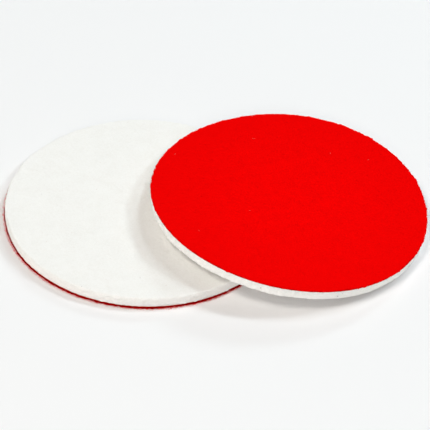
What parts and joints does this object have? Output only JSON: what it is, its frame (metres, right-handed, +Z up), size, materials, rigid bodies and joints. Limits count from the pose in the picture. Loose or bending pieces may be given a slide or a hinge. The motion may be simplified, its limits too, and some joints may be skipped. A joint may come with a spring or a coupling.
{
  "type": "felt polishing wheel",
  "caption": "Round pressed-felt polishing discs with loop-cloth backs, as a pair: one lies flat with its felt face up, and the other is turned over and leans on it.",
  "frame": {"origin": "centre of the lower disc's loop face, on the surface that the pair lies on", "axes": "+Z up, out of the lower disc's felt face; +X from the lower disc's centre to the upper disc's centre"},
  "size_m": [0.1895, 0.1251, 0.0169],
  "materials": {
    "white_felt": "matte pressed wool felt",
    "glue_film": "matte clear film over the red cloth",
    "red_ground_cloth": "matte knitted cloth",
    "red_loop_pile": "soft brushed loops"
  },
  "bodies": {
    "lower_disc": {"lower_felt_pad": "white_felt", "lower_glue_film": "glue_film", "lower_ground_cloth": "red_ground_cloth", "lower_loop_pile": "red_loop_pile"},
    "upper_disc": {"upper_felt_pad": "white_felt", "upper_glue_film": "glue_film", "upper_ground_cloth": "red_ground_cloth", "upper_loop_pile": "red_loop_pile"}
  },
  "joints": [
    {"name": "upper_disc_lift", "type": "slide", "parent": "lower_disc", "child": "upper_disc", "axis": [0, 0, 1], "range_m": [0, 0.06]}
  ]
}
